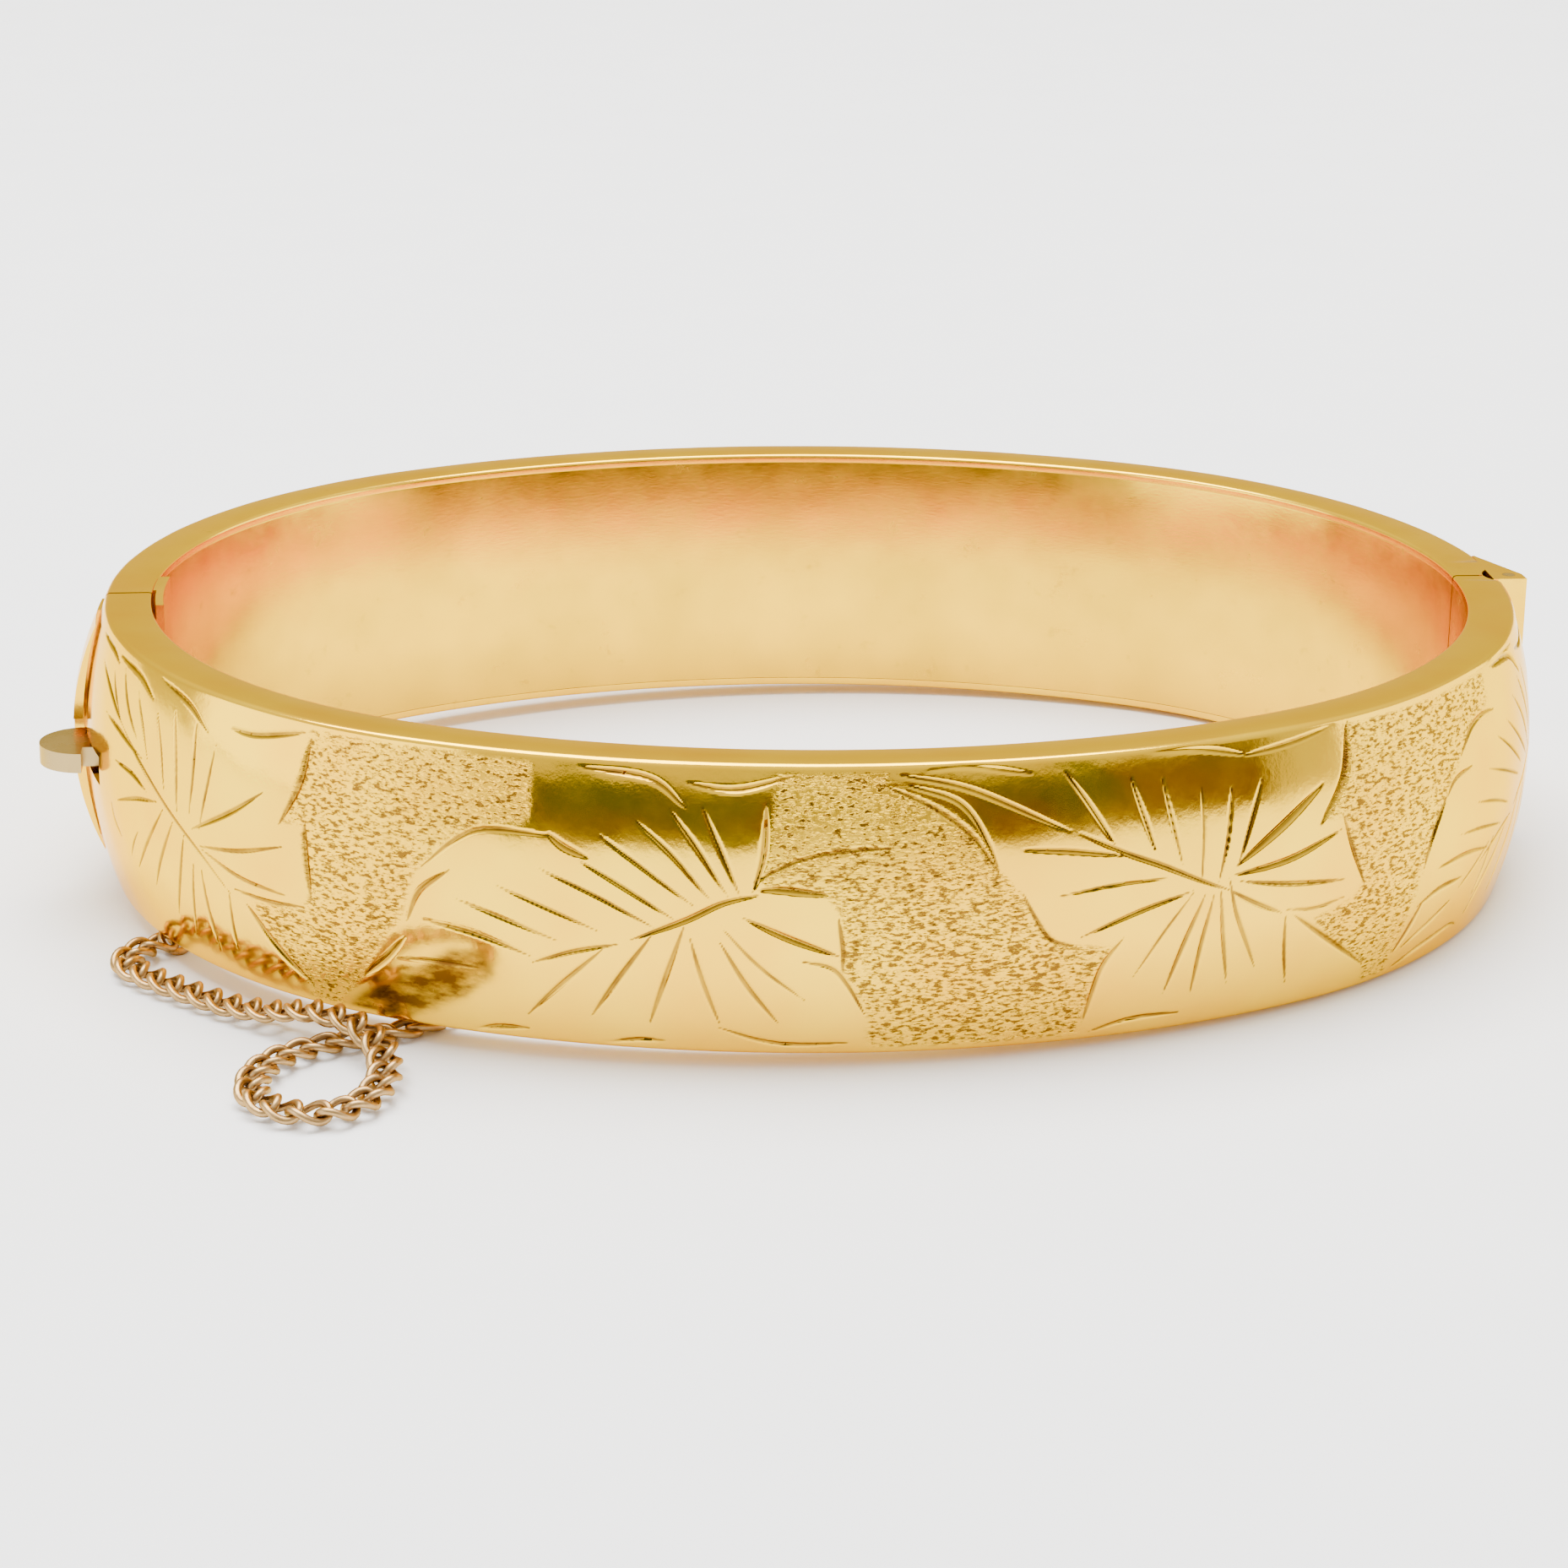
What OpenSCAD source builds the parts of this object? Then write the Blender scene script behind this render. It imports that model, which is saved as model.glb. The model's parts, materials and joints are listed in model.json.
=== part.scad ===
// Hinged oval bangle with a tongue clasp and a safety chain.
// Millimetres. +X is the hinge end, +Y the plain rear half, +Z up.
// The bangle lies on its lower rim: the two chain eyes lift the clasp end a little.

/* [Band] */
// Length of the oval over its rims
band_len = 65; // [62:0.5:68]
// Width of the oval over its rims
band_wid = 53.6; // [53:0.1:55]
// Radius of the two end arcs, over the rims
end_r = 25; // [24:0.1:25.5]
// Height of the band
band_h = 12.6; // [12:0.1:13]
// Width of the flat rim, inside to outside
rim_w = 2.1; // [2:0.05:2.3]
// How far the domed face stands out past the rim
crown = 1.1; // [1:0.05:1.2]
// Thickness of the sheet that the halves are made of
sheet = 0.4; // [0.35:0.01:0.42]

/* [Clasp] */
// Gap between the two halves when shut
joint_gap = 0.15; // [0.12:0.01:0.2]
// How far both clasp guards reach over the front half
guard_reach = 2.2; // [2:0.1:2.4]
// How far the outer guard stands out past the crown
guard_out = 0.6; // [0.55:0.05:0.65]
// Length of the tongue, from the joint to its fold
tongue_len = 6.2; // [5.8:0.1:6.4]
// Width of the tongue
tongue_w = 5; // [4.6:0.1:5.2]
// Thickness of the tongue's spring strip
strip = 0.3; // [0.25:0.01:0.32]
// Thickness of the thumb-piece
thumb_t = 0.9; // [0.8:0.05:1]
// How far the thumb-piece sticks out past the crown
thumb_out = 1.9; // [1.6:0.1:2.2]
// Width of the thumb-piece along the band
thumb_w = 4; // [3.8:0.1:4.2]

/* [Hinge] */
// Radius of the hinge pin
pin_r = 0.3; // [0.26:0.01:0.32]
// Outer radius of the knuckles
knuckle_r = 0.7; // [0.65:0.01:0.72]

/* [Safety chain] */
// Wire radius of the links
wire_r = 0.17; // [0.15:0.01:0.18]
// Half length of a link, to the middle of its wire
link_a = 0.83; // [0.8:0.01:0.85]
// Half width of a link, to the middle of its wire
link_b = 0.58; // [0.56:0.01:0.6]
// How far the bangle leans on its chain eyes, in degrees
lean = 1; // [0.95:0.05:1.05]

/* [Hidden] */
$fn = 96;
over = 1;
gold = [0.83, 0.66, 0.32];
pale_gold = [0.87, 0.76, 0.5];
chain_gold = [0.72, 0.57, 0.4];

// Plan of the oval: two end arcs and two side arcs that meet without a corner
end_c = band_len / 2 - end_r;
half_wid = band_wid / 2;
side_r = (end_c * end_c + half_wid * half_wid - end_r * end_r) / (2 * (half_wid - end_r));
side_c = side_r - half_wid;
turn = atan2(side_c, end_c);

// Section of the band
mid_h = band_h / 2;
camber_r = (crown * crown + mid_h * mid_h) / (2 * crown);
half_len = band_len / 2;

// Hinge
pin_x = half_len + 0.6;
bore_slack = 0.05;
rear_bore_r = pin_r + 0.01;
block_x = half_len + 1.3;
block_y = -0.75;
block_in_x = half_len - 0.3;
flare_y = 3.4;
knuckle_y = 0.8;
knuckle_z = band_h / 3;
hinge_clear_r = 1.25;

// Clasp: the tongue is a strip folded at its tip, and its free leaf carries the thumb-piece
tongue_in_x = -(half_len - 1.5);
fold_r = 0.5;
fold_x = tongue_in_x - fold_r;
fold_y = tongue_len;
leaf_lean = 3.8;
leaf_w = tongue_w - 0.6;
shank_w = 2.2;
shank_y = -5;
thumb_y = -3.9;
plate_t = 0.5;

// Seat: the band's lowest corner is at the hinge block, and the origin is under the middle
seat_x = 0.85;

// The chain's route on the table, from the rear eye's leg to the front eye's leg
ROUTE = [
    [-29.7, 6.2, 0.6], [-28.7, 4.5, 0.5], [-27, 2, 0.42], [-25.6, -1.5, 0.4],
    [-24, -5, 0.4], [-22, -8.5, 0.4], [-19.6, -12, 0.4], [-17.2, -15, 0.4],
    [-15.8, -17.4, 0.4], [-16, -19.6, 0.4], [-17.4, -21.2, 0.4], [-19.3, -22.2, 0.42],
    [-21.3, -22.9, 0.46], [-23.2, -24.2, 0.55], [-24.4, -26.2, 0.6], [-24.5, -28.6, 0.6],
    [-23.2, -30.4, 0.6], [-21.2, -30.8, 0.6], [-19.7, -29.5, 0.6], [-19, -27.4, 0.75],
    [-19.2, -25.2, 1.1], [-20.4, -23.4, 1.6], [-22.2, -21.9, 1.55], [-24, -20.3, 0.9],
    [-25.8, -18.6, 0.6], [-27.6, -16.8, 0.6], [-29.3, -15, 0.6], [-30.6, -13.2, 0.6],
    [-29.9, -11.3, 0.6], [-28.3, -10.3, 0.52]
];
RUNS = 12;
links_per_run = 5;
ring_a = 0.62;
hook = 2 * wire_r + 0.07;

// Places what is drawn in the band's own frame on the table, leaning on the chain eyes
module seated() {
    translate([block_x + seat_x, 0, 0])
        rotate([0, lean, 0])
            translate([-block_x, 0, 0])
                children();
}

// ---- Sections, with X out of the band and Y up ----

module domed_section(out = 0) {
    intersection() {
        translate([-rim_w, 0])
            square([rim_w + crown + over, band_h]);
        translate([crown - camber_r, mid_h])
            circle(camber_r + out, $fn = 256);
    }
}

module cavity_section() {
    intersection() {
        translate([-rim_w - over, sheet])
            square([rim_w + crown + over, band_h - 2 * sheet]);
        translate([crown - camber_r, mid_h])
            circle(camber_r - sheet, $fn = 256);
    }
}

module shell_section() {
    difference() {
        domed_section();
        cavity_section();
    }
}

module lining_section() {
    translate([-rim_w, sheet])
        square([sheet, band_h - 2 * sheet]);
}

module cap_section() {
    difference() {
        cavity_section();
        translate([-rim_w - 2 * over, 0])
            square([2 * over + sheet, band_h]);
    }
}

// ---- Sweeps along the oval ----

module sector(cx, cy, r, from, by) {
    translate([cx, cy, 0])
        rotate([0, 0, from])
            rotate_extrude(angle = by)
                translate([r, 0])
                    children();
}

// The rear half's path, from the hinge end round to the clasp end
module rear_sweep() {
    sector(end_c, 0, end_r, 0, turn) children();
    sector(0, -side_c, side_r, turn, 180 - 2 * turn) children();
    sector(-end_c, 0, end_r, 180 - turn, turn) children();
}

module front_sweep() {
    mirror([0, 1, 0])
        rear_sweep() children();
}

// Part of an end arc, between two distances along Y from the joint
module clasp_sector(y0, y1) {
    intersection() {
        sector(-end_c, 0, end_r, 165, 30) children();
        slab(y0, y1);
    }
}

module hinge_sector(y0, y1) {
    intersection() {
        sector(end_c, 0, end_r, -15, 30) children();
        slab(y0, y1);
    }
}

module slab(y0, y1) {
    translate([-half_len - 5, y0, -over])
        cube([band_len + 10, y1 - y0, band_h + 2 * over]);
}

// ---- Hinge ----

module hinge_plan() {
    polygon([
        [block_in_x, block_y], [block_x, block_y], [block_x - 0.05, 0.1],
        [half_len - 0.2, flare_y], [block_in_x, flare_y]
    ]);
}

module hinge_prism(z0, z1) {
    translate([0, 0, z0])
        linear_extrude(z1 - z0)
            hinge_plan();
}

module at_pin(r, z0, z1) {
    translate([pin_x, 0, z0])
        cylinder(r = r, h = z1 - z0);
}

module hinge_block() {
    color(pale_gold)
        seated()
            intersection() {
                hinge_prism(0, band_h);
                slab(knuckle_y, flare_y + over);
            }
}

module end_knuckle(z0, z1) {
    difference() {
        intersection() {
            hinge_prism(z0, z1);
            slab(block_y - over, knuckle_y);
        }
        at_pin(rear_bore_r, z0 - over, z1 + over);
    }
}

module hinge_knuckle_top() {
    color(pale_gold)
        seated()
            end_knuckle(band_h - knuckle_z, band_h);
}

module hinge_knuckle_bottom() {
    color(pale_gold)
        seated()
            end_knuckle(0, knuckle_z);
}

module hinge_pin() {
    color(gold)
        seated()
            at_pin(pin_r, 0, band_h);
}

// The middle knuckle, its arm and the foot that is soldered behind the end cap
module hinge_knuckle_middle() {
    z0 = knuckle_z + bore_slack;
    z1 = band_h - knuckle_z - bore_slack;
    arm_x = pin_x - knuckle_r - 0.2;
    foot_y = -joint_gap - plate_t;
    color(pale_gold)
        seated()
            difference() {
                union() {
                    at_pin(knuckle_r, z0, z1);
                    translate([arm_x, foot_y - sheet, z0])
                        cube([0.55, sheet - foot_y, z1 - z0]);
                    translate([half_len - rim_w + sheet + 0.1, foot_y - sheet, z0])
                        cube([arm_x - half_len + rim_w, sheet, z1 - z0]);
                }
                at_pin(pin_r + bore_slack, z0 - over, z1 + over);
            }
}

// ---- Rear half ----

module rear_shell() {
    color(pale_gold)
        seated()
            difference() {
                rear_sweep() shell_section();
                hinge_prism(-over, band_h + over);
                at_pin(knuckle_r + 0.12, -over, band_h + over);
            }
}

module rear_lining() {
    color(gold)
        seated()
            rear_sweep() lining_section();
}

module rear_clasp_end_cap() {
    color(gold)
        seated()
            difference() {
                clasp_sector(0, plate_t) cap_section();
                tongue_window();
            }
}

module rear_hinge_end_cap() {
    color(gold)
        seated()
            difference() {
                hinge_sector(0, plate_t) cap_section();
                translate([block_in_x, -over, -over])
                    cube([5, 5, band_h + 2 * over]);
            }
}

// ---- Clasp ----

module tongue_window() {
    translate([tongue_in_x - 1.75, -over, mid_h - tongue_w / 2 - 0.1])
        cube([1.75, 2 * over, tongue_w + 0.2]);
}

module thumb_slot(half_h, y0, y1) {
    translate([-half_len - 4, y0, mid_h - half_h])
        cube([4.2, y1 - y0, 2 * half_h]);
}

module outer_guard_section(lift) {
    guard_crown = crown + guard_out;
    guard_r = (guard_crown * guard_crown + mid_h * mid_h) / (2 * guard_crown);
    difference() {
        intersection() {
            translate([0, 0.9])
                square([guard_crown + over, band_h - 1.8]);
            translate([guard_crown - guard_r, mid_h])
                circle(guard_r, $fn = 256);
        }
        translate([crown - camber_r, mid_h])
            circle(camber_r + lift, $fn = 256);
    }
}

module clasp_outer_guard() {
    foot_y = 0.25;
    foot_end = 2.2;
    color(pale_gold)
        seated()
            union() {
                difference() {
                    clasp_sector(-guard_reach, foot_y) outer_guard_section(joint_gap);
                    thumb_slot(thumb_t / 2 + 0.5, -5, -0.3);
                }
                clasp_sector(foot_y, foot_end) outer_guard_section(0);
            }
}

// A tongue of plate inside the band, soldered to the rear half's lining
module clasp_inner_guard() {
    guard_t = 0.5;
    z0 = 1.2;
    foot_y = 0.3;
    color(gold)
        seated()
            union() {
                clasp_sector(-guard_reach, foot_y)
                    translate([-rim_w - guard_t, z0])
                        square([guard_t - joint_gap, band_h - z0]);
                clasp_sector(foot_y, 2.6)
                    translate([-rim_w - guard_t, z0])
                        square([guard_t, band_h - z0]);
            }
}

module tongue_fixed_leaf() {
    root_y = -1;
    color(gold)
        seated()
            translate([0, 0, mid_h - tongue_w / 2]) {
                translate([fold_x + fold_r - strip, root_y, 0])
                    cube([strip, fold_y - root_y, tongue_w]);
                translate([fold_x, fold_y, 0])
                    difference() {
                        cylinder(r = fold_r, h = tongue_w);
                        translate([0, 0, -over])
                            cylinder(r = fold_r - strip, h = tongue_w + 2 * over);
                        translate([-over, -2 * over, -over])
                            cube([2 * over, 2 * over, tongue_w + 2 * over]);
                    }
            }
}

module tongue_spring_leaf() {
    leaf_end = 1;
    free_gap = 0.06;
    shank_x = fold_x - fold_r - (fold_y - leaf_end) * sin(leaf_lean);
    color(gold)
        seated() {
            difference() {
                translate([fold_x - fold_r, fold_y, mid_h - leaf_w / 2])
                    rotate([0, 0, -leaf_lean])
                        translate([0, -fold_y + leaf_end, 0])
                            cube([strip, fold_y - leaf_end, leaf_w]);
                slab(fold_y - free_gap, fold_y + over);
            }
            translate([shank_x, shank_y, mid_h - shank_w / 2])
                cube([strip, leaf_end - shank_y + 0.2, shank_w]);
        }
}

// A flat tab with a round outer end, soldered to the spring leaf's shank
module thumb_piece() {
    root_x = fold_x - fold_r - (fold_y - 1) * sin(leaf_lean);
    tip_x = -half_len - crown - thumb_out;
    end_radius = thumb_w / 2;
    root_w = 2;
    color(gold)
        seated()
            translate([0, thumb_y, mid_h - thumb_t / 2])
                linear_extrude(thumb_t)
                    union() {
                        intersection() {
                            translate([tip_x + end_radius, 0])
                                circle(end_radius);
                            translate([tip_x, -end_radius])
                                square([end_radius, thumb_w]);
                        }
                        translate([tip_x + end_radius, -end_radius + (thumb_w - root_w) / 2])
                            square([root_x - tip_x - end_radius, root_w]);
                    }
}

// ---- Front half ----

module front_trim() {
    intersection() {
        difference() {
            children();
            at_pin(hinge_clear_r, -over, band_h + over);
        }
        slab(-half_wid - 5, -joint_gap);
    }
}

module front_shell() {
    color(pale_gold)
        seated()
            difference() {
                front_trim()
                    front_sweep() shell_section();
                thumb_slot(thumb_t / 2 + 0.25, -6.8, over);
            }
}

module front_lining() {
    color(gold)
        seated()
            front_trim()
                front_sweep() lining_section();
}

module front_clasp_end_cap() {
    color(gold)
        seated()
            difference() {
                clasp_sector(-joint_gap - plate_t, -joint_gap) cap_section();
                tongue_window();
            }
}

module front_hinge_end_cap() {
    color(gold)
        seated()
            front_trim()
                hinge_sector(-joint_gap - plate_t, -joint_gap) cap_section();
}

// ---- Safety chain ----

// A half ring soldered under the lower rim, with its legs along the band
module chain_eye(at_y) {
    eye_wire = 0.16;
    rim_r = end_r - rim_w / 2;
    eye_x = -end_c - sqrt(rim_r * rim_r - at_y * at_y);
    drop = (block_x - eye_x) * tan(lean);
    along = atan2(at_y, -end_c - eye_x);
    color(chain_gold)
        seated()
            translate([eye_x, at_y, 0])
                rotate([0, 0, 90 - along])
                    rotate([-90, 0, 0])
                        rotate_extrude(angle = 180)
                            translate([drop - eye_wire, 0])
                                circle(eye_wire, $fn = 24);
}

module rear_chain_eye() {
    chain_eye(7);
}

module front_chain_eye() {
    chain_eye(-9.4);
}

// Lengths along the route
function run_to(i) = i == 0 ? 0 : run_to(i - 1) + norm(ROUTE[i] - ROUTE[i - 1]);
ALONG = [for (i = [0:len(ROUTE) - 1]) run_to(i)];
route_len = ALONG[len(ROUTE) - 1];
function leg(s, i = 0) = i >= len(ROUTE) - 2 || ALONG[i + 1] > s ? i : leg(s, i + 1);
function on_leg(s, i) = ROUTE[i] + (ROUTE[i + 1] - ROUTE[i]) * (s - ALONG[i]) / (ALONG[i + 1] - ALONG[i]);
function on_route(s) = on_leg(s, leg(s));
function smooth_at(s) = (on_route(max(0, s - 0.6)) + on_route(s) + on_route(min(route_len, s + 0.6))) / 3;

link_count = RUNS * links_per_run;
ring_pitch = ring_a + link_a - hook;
link_pitch = (route_len - 2 * ring_pitch) / (link_count - 1);
function link_s(k) = ring_pitch + k * link_pitch;

// A link lies on the table on its edge, leaning one way and then the other
function stance(z) = asin(min(0.72, max(0.34, (z - wire_r - 0.02) / link_b)));

module wire_loop(a, b) {
    straight = 2 * (a - b);
    for (side = [-1, 1]) {
        translate([side * (a - b), 0, 0])
            rotate([0, 0, side * 90 - 180])
                rotate_extrude(angle = 180)
                    translate([b, 0])
                        circle(wire_r, $fn = 16);
        if (straight > 0)
            translate([-straight / 2, side * b, 0])
                rotate([0, 90, 0])
                    cylinder(r = wire_r, h = straight, $fn = 16);
    }
}

module on_chain(s, side) {
    step = 0.5;
    here = smooth_at(s);
    way = smooth_at(min(route_len, s + step)) - smooth_at(max(0, s - step));
    translate(here)
        rotate([0, -atan2(way[2], norm([way[0], way[1]])), atan2(way[1], way[0])])
            rotate([side * stance(here[2]), 0, 0])
                children();
}

module chain_run(run) {
    color(chain_gold)
        for (k = [(run - 1) * links_per_run:run * links_per_run - 1])
            on_chain(link_s(k), k % 2 == 0 ? 1 : -1)
                wire_loop(link_a, link_b);
}

module rear_jump_ring() {
    color(chain_gold)
        on_chain(0, 0)
            wire_loop(ring_a, ring_a);
}

module front_jump_ring() {
    color(chain_gold)
        on_chain(route_len, 1)
            wire_loop(ring_a, ring_a);
}

rear_shell();
rear_lining();
rear_clasp_end_cap();
rear_hinge_end_cap();
clasp_outer_guard();
clasp_inner_guard();
hinge_block();
hinge_knuckle_top();
hinge_knuckle_bottom();
hinge_pin();
rear_chain_eye();
front_shell();
front_lining();
front_clasp_end_cap();
front_hinge_end_cap();
hinge_knuckle_middle();
tongue_fixed_leaf();
front_chain_eye();
tongue_spring_leaf();
thumb_piece();
rear_jump_ring();
front_jump_ring();
chain_run(1);  // chain_run_01
chain_run(2);  // chain_run_02
chain_run(3);  // chain_run_03
chain_run(4);  // chain_run_04
chain_run(5);  // chain_run_05
chain_run(6);  // chain_run_06
chain_run(7);  // chain_run_07
chain_run(8);  // chain_run_08
chain_run(9);  // chain_run_09
chain_run(10);  // chain_run_10
chain_run(11);  // chain_run_11
chain_run(12);  // chain_run_12
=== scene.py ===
import json
import math

import bpy
import numpy as np
from bpy.props import FloatProperty, FloatVectorProperty, IntProperty, PointerProperty
from bpy.types import Operator, Panel, PropertyGroup
from mathutils import Matrix, Vector


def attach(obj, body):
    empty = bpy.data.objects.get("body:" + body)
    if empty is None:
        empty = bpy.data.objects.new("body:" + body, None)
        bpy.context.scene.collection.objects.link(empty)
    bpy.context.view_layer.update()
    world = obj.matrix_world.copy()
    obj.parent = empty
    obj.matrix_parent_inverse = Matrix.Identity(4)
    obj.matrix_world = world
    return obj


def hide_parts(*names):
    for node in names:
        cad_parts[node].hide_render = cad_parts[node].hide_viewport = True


bl_info = {
    "name": "Engraved hinged bangle",
    "version": (1, 0, 0),
    "blender": (4, 5, 0),
    "location": "3D View > Sidebar > Bangle",
    "description": "Builds the faces, engraving, fittings and safety chain of a hinged bangle round its frame",
    "category": "Object",
}

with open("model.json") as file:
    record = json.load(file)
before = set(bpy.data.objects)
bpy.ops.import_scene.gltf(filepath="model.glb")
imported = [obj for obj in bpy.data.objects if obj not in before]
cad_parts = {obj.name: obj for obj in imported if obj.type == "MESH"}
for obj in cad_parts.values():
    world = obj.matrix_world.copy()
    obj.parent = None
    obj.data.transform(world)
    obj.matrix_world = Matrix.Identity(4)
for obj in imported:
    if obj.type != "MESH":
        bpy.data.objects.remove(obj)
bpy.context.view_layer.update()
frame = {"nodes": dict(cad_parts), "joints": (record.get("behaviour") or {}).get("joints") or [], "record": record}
MM = 0.001
NODES = frame["nodes"]
BODY_OF = {n: body for body, names in frame["record"]["behaviour"]["bodies"].items() for n in names}
HINGE = next(j for j in frame["joints"] if j["name"] == "front_half_hinge")


# ---- Sizes and colours that a user would change ----

def length(name, words, metres):
    return FloatProperty(name=name, description=words, default=metres, min=0, unit="LENGTH", precision=5)


def angle(name, words, degrees):
    return FloatProperty(name=name, description=words, default=math.radians(degrees), subtype="ANGLE")


def tint(name, words, rgb):
    return FloatVectorProperty(name=name, description=words, default=rgb, size=3, min=0, max=1, subtype="COLOR")


class BandSizes(PropertyGroup):
    """The oval and the section of the band."""
    long_size: length("Length", "Length of the oval over its rims", 0.065)
    wide_size: length("Width", "Width of the oval over its rims", 0.0536)
    end_radius: length("End radius", "Radius of the oval's two end arcs", 0.025)
    height: length("Height", "Height of the band", 0.0126)
    rim_width: length("Rim width", "Width of the flat rim", 0.0021)
    crown: length("Crown", "How far the domed face stands out past the rim", 0.0011)
    sheet: length("Sheet", "Thickness of the sheet", 0.0004)
    soft_edge: length("Edge radius", "Radius of the worn edges along the rims", 0.00028)
    joint_gap: length("Joint gap", "Gap between the two halves when shut", 0.00015)
    pin_reach: length("Pin reach", "How far the hinge pin stands outside the rim line", 0.0006)
    knuckle_room: length("Knuckle room", "Radius round the hinge pin that the shells keep clear of", 0.00125)
    block_depth: length("Block depth", "How far the hinge block is let into the rear face", 0.0003)
    block_length: length("Block length", "How far the hinge block runs along the rear half", 0.0034)


class EngravingSizes(PropertyGroup):
    """The graver's cuts and the stippled ground."""
    grid: length("Grid", "Spacing of the points that carry the engraving", 0.00007)
    cut_slope: FloatProperty(name="Cut slope", description="Slope of a cut's two sides", default=0.85, min=0.1)
    ground_depth: length("Ground depth", "How far the stippled ground is beaten down", 0.00003)
    ripple: length("Ripple", "How far the polished face waves from hand finishing", 0.000012)


class ChainSizes(PropertyGroup):
    """One twisted link of the safety chain."""
    wire_radius: length("Wire radius", "Radius of the link's wire", 0.00018)
    half_long: length("Half length", "Half length of a link, to the middle of its wire", 0.00083)
    half_wide: length("Half width", "Half width of a link, to the middle of its wire", 0.0006)
    ring_half: length("Ring half length", "Half length of a jump ring, to the middle of its wire", 0.00062)
    hook: length("Hook", "How far two neighbouring links reach into each other", 0.00041)
    links_per_run: IntProperty(name="Links per run", description="How many links move together",
                               default=5, min=1)


class GoldColours(PropertyGroup):
    """The golds of the bangle."""
    face: tint("Face gold", "Polished gold of the two faces", (1.0, 0.62, 0.008))
    face_warm: tint("Warm face gold", "The warmer gold that shows in patches", (0.96, 0.53, 0.004))
    lining: tint("Lining gold", "Gold of the inside", (1.0, 0.6, 0.004))
    fittings: tint("Fittings gold", "Gold of the tongue, thumb-piece and pin", (0.44, 0.31, 0.12))
    chain: tint("Chain gold", "Dull rose gold of the chain", (0.5, 0.32, 0.13))
    # This brown is real tarnishing in the cuts and pits, and painted shade in the chain's recesses.
    tarnish_and_shade: tint("Tarnish", "Brown in the cuts, pits and recesses", (0.12, 0.045, 0.008))


class StageSettings(PropertyGroup):
    """The camera, the floor and the light."""
    distance: length("Camera distance", "From the camera to the point that it looks at", 0.19223)
    azimuth: angle("Camera azimuth", "Turn of the camera round the bangle", -5)
    elevation: angle("Camera elevation", "Height of the camera above the horizon", 18.705)
    roll: angle("Camera roll", "Roll of the camera about its own line of sight", -0.331)
    lens: FloatProperty(name="Lens", description="Focal length in mm on a 36 mm sensor", default=93.27, min=1)
    aim_x: FloatProperty(name="Aim X", description="The point looked at, along the oval",
                         default=-0.00028, unit="LENGTH")
    aim_z: FloatProperty(name="Aim Z", description="The point looked at, above the floor",
                         default=0.00338, unit="LENGTH")
    floor: tint("Floor", "Colour of the pale floor", (0.9, 0.9, 0.9))


# ---- Placing: the band's own frame, in metres, set on the hinge's pin and axis ----

def seated(points):
    """Takes points from the band's own frame to the frame of the model."""
    band = bpy.context.scene.bangle_band
    axis = HINGE["axis"]
    lean = math.atan2(axis[0], axis[2])
    pin = np.array([band.long_size / 2 + band.pin_reach, 0, band.height / 2])
    local = np.asarray(points, float) - pin
    out = np.empty_like(local)
    out[..., 0] = local[..., 0] * math.cos(lean) + local[..., 2] * math.sin(lean)
    out[..., 1] = local[..., 1]
    out[..., 2] = local[..., 2] * math.cos(lean) - local[..., 0] * math.sin(lean)
    return out + np.array(HINGE["pos_m"])


class Oval:
    """The rim line of one half, measured from the clasp end to the hinge end."""

    def __init__(self, band, side):
        self.side = side
        self.r = band.end_radius
        self.end_c = band.long_size / 2 - self.r
        half_wide = band.wide_size / 2
        self.side_r = (self.end_c ** 2 + half_wide ** 2 - self.r ** 2) / (2 * (half_wide - self.r))
        self.side_c = self.side_r - half_wide
        self.turn = math.atan2(self.side_c, self.end_c)
        self.end_len = self.r * self.turn
        self.side_len = self.side_r * (math.pi - 2 * self.turn)
        self.length = 2 * self.end_len + self.side_len

    def at(self, u):
        """Points and outward directions in plan at distances u along the rim line."""
        u = np.asarray(u, float)
        first = math.pi + u / self.r
        middle = math.pi + self.turn + (u - self.end_len) / self.side_r
        last = 2 * math.pi - self.turn + (u - self.end_len - self.side_len) / self.r
        on_first = u < self.end_len
        on_last = u >= self.end_len + self.side_len
        t = np.where(on_first, first, np.where(on_last, last, middle))
        radius = np.where(on_first | on_last, self.r, self.side_r)
        cx = np.where(on_first, -self.end_c, np.where(on_last, self.end_c, 0.0))
        cy = np.where(on_first | on_last, 0.0, self.side_c)
        out = np.stack([np.cos(t), np.sin(t)], -1)
        point = np.stack([cx, cy], -1) + out * radius[..., None]
        flip = np.array([1.0, -self.side])
        return point * flip, out * flip

    def u_of_y(self, y):
        """Distance from the clasp joint to where the end arc is y away from it."""
        return self.r * math.asin(abs(y) / self.r)


# ---- Meshes ----

# Points round each inner edge of a rim, and across the shell's hollow back
LIP_POINTS = 5
BACK_POINTS = 9
# The thumb-piece's slot: where it starts and ends along the face, and half its width
SLOT_START = 0.0003
SLOT_END = 0.0068
SLOT_HALF = 0.0007

def new_piece(name, verts, faces, material, body, smooth=True):
    mesh = bpy.data.meshes.new(name)
    mesh.from_pydata([tuple(v) for v in verts], [], [tuple(f) for f in faces])
    mesh.validate()
    if smooth:
        mesh.shade_smooth()
    piece = bpy.data.objects.new(name, mesh)
    bpy.context.scene.collection.objects.link(piece)
    mesh.materials.append(material)
    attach(piece, body)
    return piece


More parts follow.
